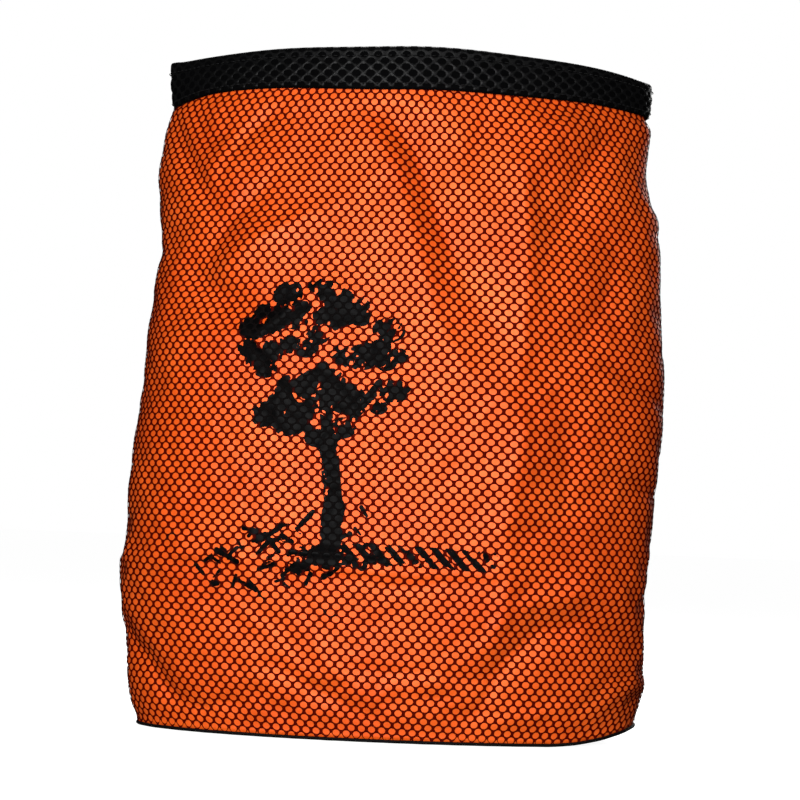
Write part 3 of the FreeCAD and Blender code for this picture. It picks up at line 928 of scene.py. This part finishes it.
def rim_crown(f):
    """The mouth's edge rises in the middle of each panel and dips at the seams."""
    return HEM_CROWN * np.cos(4 * math.pi * (np.asarray(f) - 0.25)) - 0.0004


def rim_wobble(f):
    """The collar's top and bottom edges wave by less than a millimetre."""
    turn = 2 * math.pi * np.asarray(f)
    return 0.0005 * np.sin(3 * turn + 0.6) + 0.0003 * np.sin(7 * turn + 2.0) - 0.0009


def edge_dip(f):
    """The band hangs lower at the left seam and higher everywhere else, most at the right seam."""
    return 0.0022 + at_seams(f, (-0.0062, 0), 0.045) + at_seams(f, (0, 0.0014), 0.03)


def rim_table():
    """Shares of the rim's length against the oval's angle."""
    angle = np.linspace(0, 2 * math.pi, 2881)
    x, y = oval(angle, HEM_WIDE, HEM_DEEP, RIM_POWER)
    length = np.concatenate([[0], np.cumsum(np.hypot(np.diff(x), np.diff(y)))])
    return length / length[-1], angle, length[-1]


RIM_SHARES, RIM_ANGLES, RIM_LENGTH = rim_table()


def make_collar(materials):
    """Band cloth folded over the hoop, the large-celled net over it, and the net's fold to sew on."""
    hem = Hem(0.0008, HEM_LOW - 0.0003)
    around, along = 288, 56
    f, v = np.meshgrid(np.arange(around) / around, np.linspace(0, 1, along))
    faces = grid_faces(along, around, True)
    cloth = new_object("collar_band_cloth", hem.at(f, v).reshape(-1, 3), faces, materials["collar"])
    band = thicken(cloth, BAND_THICK)
    outside = Hem(0.0006, HEM_LOW)
    row_share = COLLAR_ROW / outside.length
    rows = int(outside.length / COLLAR_ROW)
    column, row = np.meshgrid(np.arange(COLLAR_CELLS), np.arange(rows))
    column = (column + 0.5 * (row % 2)) / COLLAR_CELLS
    centres = np.stack([column.ravel(), ((row + 0.4) * row_share).ravel()], -1)
    half_pitch = (0.5 / COLLAR_CELLS, row_share)

    def place(f, v, lift):
        flattened = smoothstep(0.012, 0.008, np.abs(v - 0.5) * outside.length)
        return outside.at(f, v, lift * (1 - 0.8 * flattened) - 0.0001 * flattened)

    yarn = materials["collar_net"]
    net = make_net("collar_net", place, centres, half_pitch, COLLAR_HOLE, COLLAR_RIDGE, yarn)
    return band, net, outside


def hoop_path(shares):
    """The hoop's middle line at shares round the mouth."""
    line, outward = rim_line(shares)
    upper_part = 1 - HOOP_DROP / (HEM_TOP - HEM_LOW)
    line[..., 0] += at_seams(shares, SEAM_LEAN, SEAM_REACH) * upper_part
    line[..., 2] = HEM_TOP - HOOP_DROP + rim_wobble(shares) + rim_crown(shares)
    return line - outward * HOOP_INSET


def make_hoop(materials):
    """The spring wire inside the hem and the sleeve that joins its ends at the back."""
    low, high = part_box("hoop_ferrule")
    half = (high - low).x / 2 / RIM_LENGTH
    wire_low, wire_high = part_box("rim_hoop")
    ring = hoop_path(np.arange(360) / 360)
    wire = make_tube("rim_hoop_wire", ring, (wire_high - wire_low).z / 2, 12, materials["wire"])
    sleeve_path = hoop_path(np.linspace(0.75 - half, 0.75 + half, 9))
    thick = (high - low).z / 2
    sleeve = make_tube("hoop_ferrule_sleeve", sleeve_path, thick, 16, materials["wire"], closed=False)
    return wire, sleeve


def stitch_mesh():
    """One stitch: a short rounded bar along X, 1 long and 1 thick, that dips at its ends."""
    sides, stations = 6, 7
    along = np.linspace(-0.5, 0.5, stations)
    girth = np.sqrt(np.clip(1 - (2 * along) ** 4, 0.02, 1)) * 0.5
    turn = np.arange(sides) / sides * 2 * math.pi
    x = np.repeat(along, sides)
    y = (girth[:, None] * np.cos(turn)).ravel()
    z = (girth[:, None] * np.sin(turn)).ravel() + np.repeat(0.25 - (2 * along) ** 2 * 0.5, sides)
    return np.stack([x, y, z], -1), tube_faces(stations, sides, False)


def place_bars(name, frames, length, thick, material):
    """Copies of one stitch. Each frame is (middle, along, outward)."""
    shape, shape_faces = stitch_mesh()
    points, faces = [], []
    for number, (middle, along, outward) in enumerate(frames):
        side = np.cross(outward, along)
        local = shape * np.array([length, thick, thick])
        points.append(middle + local[:, :1] * along + local[:, 1:2] * side + local[:, 2:] * outward)
        faces += [[k + number * len(shape) for k in face] for face in shape_faces]
    return new_object(name, np.concatenate(points), faces, material)


def stitch_row(name, hem, across, material):
    """A row of stitches round the collar, at a share across the hem's section."""
    count = int(RIM_LENGTH / STITCH_PITCH)

    def at(share, lift):
        return hem.at(share, np.full(share.shape, across), np.full(share.shape, lift))

    share = (np.arange(count) + 0.5) / count
    middle = at(share, 0.0005)
    outward = unit(at(share, 0.0015) - middle)
    along = unit(at(share + 0.3 / count, 0.0005) - at(share - 0.3 / count, 0.0005))
    outward = unit(outward - along * np.sum(outward * along, axis=-1, keepdims=True))
    frames = list(zip(middle, along, outward))
    return place_bars("collar_stitches_" + name, frames, STITCH_LENGTH, STITCH_THICK, material)


# ---------------------------------------------------------------- print


PRINT_LEFT, PRINT_RIGHT = -0.60, 0.34
PRINT_LOW, PRINT_HIGH = 0.078, 0.268
PRINT_STEP = 0.0008
INK_LIFT = 0.00022
PRINT_X = -0.0430
PRINT_Z = 0.170


def strand(p, q, points, width):
    """Signed distance to a bold line through points: negative inside."""
    nearest = np.full(p.shape, 1e9)
    for (x0, y0), (x1, y1) in zip(points[:-1], points[1:]):
        dx, dy = x1 - x0, y1 - y0
        t = np.clip(((p - x0) * dx + (q - y0) * dy) / (dx * dx + dy * dy), 0, 1)
        nearest = np.minimum(nearest, np.hypot(p - x0 - t * dx, q - y0 - t * dy))
    return nearest - width / 2


def leaf_crown(p, q):
    """The tree's crown: ragged clumps of leaves scattered over a broad round."""
    ink = np.full(p.shape, 1.0)
    leaves = np.random.default_rng(5)
    for _ in range(62):
        turn, reach = leaves.uniform(0, 2 * math.pi), leaves.uniform(0.1, 1.0) ** 0.6
        x, y = 0.043 * reach * math.cos(turn), 0.034 + 0.043 * reach * math.sin(turn)
        size = leaves.uniform(0.0050, 0.0100)
        ink = np.minimum(ink, np.hypot(p - x, (q - y) * 1.3) - size)
    return ink


def trunk(p, q):
    """The tree's trunk, with two boughs and spreading roots."""
    limbs = [
        (0.0125, [(0.008, -0.072), (0.010, -0.045)]),
        (0.0100, [(0.010, -0.045), (0.006, -0.012)]),
        (0.0070, [(0.006, -0.012), (0.001, 0.030)]),
        (0.0055, [(0.007, -0.018), (-0.010, 0.002), (-0.026, 0.012)]),
        (0.0055, [(0.006, -0.012), (0.020, 0.006), (0.032, 0.022)]),
        (0.0060, [(0.006, -0.070), (-0.010, -0.078)]),
        (0.0060, [(0.010, -0.070), (0.026, -0.075)]),
    ]
    ink = np.full(p.shape, 1.0)
    for width, points in limbs:
        ink = np.minimum(ink, strand(p, q, points, width))
    return ink


def ground_stroke(p, q):
    """The ground to the right of the tree: a row of slanting marks."""
    line = strand(p, q, [(-0.004, -0.071), (0.030, -0.0685), (0.094, -0.0705)], 0.0115)
    slant = np.sin((p + q * 0.9) * 2 * math.pi / 0.0082)
    return np.maximum(line, (slant - 0.35) * 0.0022)


def splatter(p, q):
    """Flecks of ink round the tree's foot."""
    ink = np.full(p.shape, 1.0)
    flecks = np.random.default_rng(23)
    for _ in range(64):
        x, y = flecks.normal(-0.020, 0.024), flecks.normal(-0.070, 0.011)
        size = flecks.uniform(0.0008, 0.0030)
        lean = flecks.uniform(-1.2, 1.2)
        reach = size * flecks.uniform(0.5, 2.6)
        dx, dy = reach * math.cos(lean), reach * math.sin(lean)
        ink = np.minimum(ink, strand(p, q, [(x - dx, y - dy), (x + dx, y + dy)], size))
    return ink


def worn_noise(p, q):
    """Uneven wear: seeded ripples at a few scales, about 1 high."""
    ripples = np.random.default_rng(11)
    total = np.zeros(p.shape)
    for size, weight in ((0.030, 0.5), (0.012, 0.9), (0.005, 0.8), (0.0026, 0.5)):
        for _ in range(8):
            heading = ripples.uniform(0, 2 * math.pi)
            phase = ripples.uniform(0, 2 * math.pi)
            wave = (p * math.cos(heading) + q * math.sin(heading)) * 2 * math.pi / size
            total += weight * np.cos(wave + phase) / 8**0.5
    return total


def ink_field(u, z):
    """Below zero where there is ink, at panel share u and height z."""
    p = u * PANEL_HALF - PRINT_X
    q = z - PRINT_Z
    wear = worn_noise(p, q)
    crown = leaf_crown(p, q) + 0.0038 * np.maximum(wear - 0.4, 0)
    solid = np.minimum(trunk(p, q), ground_stroke(p, q)) + 0.0024 * np.maximum(wear - 0.55, 0)
    return np.minimum(np.minimum(crown, solid), splatter(p, q) + 0.0002 * wear)


def make_print(surface, material):
    """Ink on the front of the lining: the drawing's outline cut out of a fine grid."""
    u = np.arange(PRINT_LEFT, PRINT_RIGHT, PRINT_STEP / PANEL_HALF)
    z = np.arange(PRINT_LOW, PRINT_HIGH, PRINT_STEP)
    u, z = np.meshgrid(u, z)
    points, faces = cut_outline(ink_field(u, z), u, z)
    place = surface.at((points[:, 0] + 1) / 4, wall_share(points[:, 1]), INK_LIFT)
    return new_object("front_print_ink", place, faces, material)


def cut_outline(field, x, y):
    """Triangles covering the part of a grid where the field is negative, cut along its zero line."""
    columns = field.shape[1]
    flat, xs, ys = field.ravel(), x.ravel(), y.ravel()
    points = list(zip(xs, ys))
    crossings = {}

    def crossing(one, other):
        key = (min(one, other), max(one, other))
        if key not in crossings:
            t = flat[one] / (flat[one] - flat[other])
            crossings[key] = len(points)
            points.append((xs[one] + t * (xs[other] - xs[one]), ys[one] + t * (ys[other] - ys[one])))
        return crossings[key]

    faces = []
    inside = field < 0
    busy = inside[:-1, :-1] | inside[1:, :-1] | inside[:-1, 1:] | inside[1:, 1:]
    for r, c in zip(*np.nonzero(busy)):
        corner = r * columns + c
        across, above = corner + 1, corner + columns
        for triangle in ((corner, across, above + 1), (corner, above + 1, above)):
            outline = []
            for k in range(3):
                here, after = triangle[k], triangle[(k + 1) % 3]
                if flat[here] < 0:
                    outline.append(here)
                if (flat[here] < 0) != (flat[after] < 0):
                    outline.append(crossing(here, after))
            if len(outline) == 3:
                faces.append(outline)
            elif len(outline) == 4:
                faces.append(outline[:3])
                faces.append([outline[0], outline[2], outline[3]])
    used = np.unique(np.array(faces))
    renumber = np.full(len(points), -1)
    renumber[used] = np.arange(len(used))
    return np.array(points)[used], renumber[np.array(faces)]


# ---------------------------------------------------------------- base, tapes and webbing


# The share of the piping that shows below the wall, and how finely a flat sheet is drawn.
PIPING_SHOWN = 0.6
DISC_RINGS = 26
BASE_THICK = 0.0009
BASE_LINING_THICK = 0.0005
# Tapes inside the lining: their sizes, the levels they reach, and how far in from the lining they lie.
TAPE_WIDTH = 0.020
TAPE_THICK = 0.0006
TAPE_INSET = 0.0009
BINDING_INSET = 0.0010
TAPE_LOW = 0.0185
TAPE_HIGH = 0.3545
BINDING_LOW = 0.006
BINDING_HIGH = 0.018
WEBBING_WIDTH = 0.0198
WEBBING_THICK = 0.0015
# A bar-tack's zigzag: how many stitches, their pitch and lean, and one stitch's length and thickness.
TACK_STITCHES = 20
TACK_PITCH = 0.00078
TACK_LEAN = 0.35
TACK_LENGTH = 0.0028
TACK_THICK = 0.00075


def make_disc(name, outline, height, thickness, material):
    """A cloth or board inside an outline; height(share of radius, angle) gives each point's level."""
    around = len(outline)
    angle = np.arctan2(outline[:, 1], outline[:, 0])
    points = [(0, 0, float(height(np.zeros(1), np.zeros(1))[0]))]
    for ring in range(1, DISC_RINGS + 1):
        share = np.full(around, ring / DISC_RINGS)
        points += list(zip(outline[:, 0] * share, outline[:, 1] * share, height(share, angle)))
    points = np.array(points)
    points[:, 2] += corner_lift(points[:, 0])
    faces = [(0, 1 + k, 1 + (k + 1) % around) for k in range(around)]
    faces += (grid_faces(DISC_RINGS, around, True)[:, [0, 3, 2, 1]] + 1).tolist()
    return thicken(new_object(name, points, faces, material), thickness, offset=1.0)


def foot_oval(share, wide, deep):
    """Point on the foot's oval at a share of a turn."""
    turn = 2 * math.pi * share
    return np.stack([-wide * np.cos(turn), -deep * np.sin(turn)], -1)


def make_tube(name, path, radius, sides, material, twist=0.0, closed=True):
    """A tube along a nearly level path, with a slight twisted-cord relief."""
    count = len(path)
    ahead = unit(np.roll(path, -1, 0) - np.roll(path, 1, 0) if closed else np.gradient(path, axis=0))
    up = np.array([0, 0, 1.0])
    out = np.cross(ahead, up)
    turn = np.arange(sides) / sides * 2 * math.pi
    lay = 1 + twist * np.cos(3 * turn[None] + np.arange(count)[:, None] * 0.9)
    points = (
        path[:, None]
        + (radius * lay * np.cos(turn))[..., None] * out[:, None]
        + (radius * lay * np.sin(turn))[..., None] * up
    )
    return new_object(name, points.reshape(-1, 3), tube_faces(count, sides, closed), material)


def make_base(materials, foot):
    """Outer base cloth, base lining, piping and stiffener. foot is the wall's lower edge."""
    lining_low, lining_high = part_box("base_lining")
    piping_low, piping_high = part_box("base_piping")
    board_low, board_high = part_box("base_stiffener")
    around = np.arange(160) / 160

    def rounded_up(share, angle):
        return 0.0001 + 0.0003 * smoothstep(0.7, 0.95, share) * (1 - smoothstep(0.95, 1.0, share))

    def puckered(share, angle):
        ripple = 0.0005 * np.cos(23 * angle) + 0.0004 * np.cos(37 * angle + 1.0)
        return lining_low.z + 0.0003 + ripple * smoothstep(0.75, 0.98, share) * 0.5

    def flat(share, angle):
        return np.full(share.shape, board_low.z)

    panel = make_disc("base_panel_cloth", foot, rounded_up, BASE_THICK, materials["base"])
    outline = foot_oval(around, lining_high.x, lining_high.y)
    lining = make_disc("base_lining_cloth", outline, puckered, BASE_LINING_THICK, materials["lining"])
    slim = (piping_high - piping_low).z / 2 * PIPING_SHOWN
    cord = np.concatenate([foot, slim * 1.1 + corner_lift(foot[:, :1])], 1)
    piping = make_tube("base_piping_cord", cord, slim, 10, materials["piping"], 0.05)
    outline = foot_oval(around, board_high.x, board_high.y)
    thick = (board_high - board_low).z - 0.0003
    board = make_disc("base_stiffener_sheet", outline, flat, thick, materials["board"])
    return panel, lining, piping, board


def strip_on(name, surface, shares, levels, counts, inset, material):
    """A tape laid on the inside of the lining, between two shares of the girth and two levels."""
    f, v = np.meshgrid(np.linspace(*shares, counts[0]), np.linspace(*map(wall_share, levels), counts[1]))
    edge = np.abs(np.linspace(-1, 1, counts[0])) ** 6
    points = surface.at(f, v, np.full(f.shape, -inset) + 0.0003 * edge)
    made = new_object(name, points.reshape(-1, 3), grid_faces(counts[1], counts[0])[:, ::-1], material)
    return thicken(made, TAPE_THICK)


def webbing_ribbon(name, path, normals, material, closed):
    """Flat woven webbing along a path in the YZ plane: rounded edges and a slightly ribbed face."""
    across = np.linspace(-1, 1, 21)
    edge = np.sqrt(np.clip(1 - np.abs(across) ** 8, 0.0, 1))
    rib = 1 + 0.10 * np.cos(across * math.pi * 8)
    outline_x = np.concatenate([across, across[::-1][1:-1]]) * WEBBING_WIDTH / 2
    outline_h = np.concatenate([edge * rib, -(edge * rib)[::-1][1:-1]]) * WEBBING_THICK / 2
    x_axis = np.array([1.0, 0, 0])
    points = path[:, None] + outline_x[None, :, None] * x_axis + outline_h[None, :, None] * normals[:, None]
    return new_object(name, points.reshape(-1, 3), tube_faces(*points.shape[:2], closed), material)


def loop_path(node, pivot, direction):
    """Middle line of a loop's webbing: a long eye from its sewn bend, pinched a little past the bend."""
    low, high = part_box(node)
    size = high - low
    inset = 0.0008
    reach = min(size.y, size.z) / 2 - inset
    straight = max(size.y, size.z) - 2 * (reach + inset)
    turn = np.linspace(0, 2 * math.pi, 72, endpoint=False)
    along = straight * smoothstep(-0.75, 0.75, np.cos(turn)) + reach * np.cos(turn)
    side = reach * np.sin(turn) * (1 - 0.05 * np.cos(turn))
    direction = np.array(direction, float)
    across = np.cross([1.0, 0, 0], direction)
    path = np.array(pivot) + along[:, None] * direction + side[:, None] * across
    ahead = unit(np.roll(path, -1, 0) - np.roll(path, 1, 0))
    return path, unit(np.cross(ahead, [1.0, 0, 0]))


def make_bartack(end, along, outward, material):
    """The zigzag of thread that holds a loop's tab down."""
    middle = np.array(sum(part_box(end + "_bartack"), Vector()) / 2)
    frames = []
    for k in range(TACK_STITCHES):
        across = np.array([(k - (TACK_STITCHES - 1) / 2) * TACK_PITCH, 0, 0])
        lean = TACK_LEAN if k % 2 else -TACK_LEAN
        frames.append((middle + across, unit(along + np.array([lean, 0, 0])), outward))
    return place_bars(end + "_bartack_thread", frames, TACK_LENGTH, TACK_THICK, material)


def make_webbing(end, direction, outward, materials):
    """The loop at one end of the rope, its sewn tab and its bar-tack. direction is the way the loop lies."""
    joint = next(joint for joint in frame["joints"] if joint["name"] == end + "_loop_flop")
    path, normals = loop_path(end + "_loop", joint["pos_m"], direction)
    loop = webbing_ribbon(end + "_loop_webbing", path, normals, materials["webbing"], True)
    low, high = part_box(end + "_loop_tab")
    reach = max((high - low).y, (high - low).z) / 2
    along = np.abs(np.array(direction, float))
    path = np.array((low + high) / 2) + np.linspace(-reach, reach, 16)[:, None] * along
    outward = np.array(outward, float)
    tab = webbing_ribbon(end + "_tab_webbing", path, np.tile(outward, (16, 1)), materials["webbing"], False)
    return loop, tab, make_bartack(end, along, outward, materials["thread"])


# ---------------------------------------------------------------- put it together


def make_walls(materials, lining, net_surface):
    """The wall's cloth, nets, print and tapes, which crumple on the real bag as the rim drops: (piece, CAD
    node, slot).
    """
    half = COLUMNS // 2
    made = []
    for side, start in (("front", 0), ("back", half)):
        columns = np.arange(start, start + half + 1) % COLUMNS
        points = lining.points[:, columns].reshape(-1, 3)
        cloth = new_object("lining_%s_cloth" % side, points, grid_faces(ROWS, half + 1), materials["lining"])
        made.append((thicken(cloth, LINING_THICK), "lining_" + side, "lining_cloth"))
        net = wall_net("net_" + side, net_surface, start / COLUMNS, materials["net"])
        made.append((net, "mesh_" + side, "net"))
    made.append((make_print(lining, materials["ink"]), "front_print", "print_ink"))
    reach = TAPE_WIDTH / 2 / (4 * PANEL_HALF)
    levels = (TAPE_LOW, TAPE_HIGH)
    for side, middle in (("left", 0.0), ("right", 0.5)):
        name = "side_tape_" + side
        shares = (middle - reach, middle + reach)
        tape = strip_on(name + "_cloth", lining, shares, levels, (17, 120), TAPE_INSET, materials["tape"])
        made.append((tape, name, "black_tape"))
    levels = (BINDING_LOW, BINDING_HIGH)
    name, shares = "base_binding_cloth", (0.0, 1.0)
    binding = strip_on(name, lining, shares, levels, (280, 8), BINDING_INSET, materials["tape"])
    made.append((binding, "base_binding", "black_tape"))
    return made


def main():
    make_camera()
    make_floor()
    make_surround()
    make_lamps()
    materials = make_materials()

    lining = Surface(settled(folded_wall()))
    net_surface = Surface(taut_over(lining.points, 3, 0.0003))
    walls = make_walls(materials, lining, net_surface)
    panel, base_lining, piping, board = make_base(materials, net_surface.points[0, :, :2])
    wire, sleeve = make_hoop(materials)
    band, collar_net, hem = make_collar(materials)
    lower, upper = [stitch_row(name, hem, across, materials["thread"]) for name, across in STITCH_ROWS]
    tail_loop, tail_tab, tail_tack = make_webbing("tail", (0, -1, 0), (0, 0, 1), materials)
    head_loop, head_tab, head_tack = make_webbing("head", (0, 0, -1), (0, -1, 0), materials)
    stiff = [
        (panel, "bag", "base_panel", "base_cloth"),
        (base_lining, "bag", "base_lining", "lining_cloth"),
        (piping, "bag", "base_piping", "black_trim"),
        (board, "bag", "base_stiffener", "stiffener_board"),
        (wire, "rim", "rim_hoop", "spring_wire"),
        (sleeve, "rim", "hoop_ferrule", "spring_wire"),
        (band, "rim", "collar_band", "collar_cloth"),
        (collar_net, "rim", "collar_mesh", "net"),
        (lower, "rim", "collar_thread_lower", "thread"),
        (upper, "rim", "collar_thread_upper", "thread"),
        (tail_loop, "tail_loop", "tail_loop", "webbing"),
        (head_loop, "head_loop", "head_loop", "webbing"),
        (tail_tab, "bag", "tail_loop_tab", "webbing"),
        (head_tab, "rim", "head_loop_tab", "webbing"),
        (tail_tack, "bag", "tail_bartack", "thread"),
        (head_tack, "rim", "head_bartack", "thread"),
    ]
    pieces = [(piece, "bag", node, slot) for piece, node, slot in walls] + stiff
    {piece.name: piece for piece, *_ in pieces}
    for piece, body, node, slot in pieces:
        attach(piece, body)
        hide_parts(node)

    for piece, _, _ in walls:
        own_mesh(piece)


main()
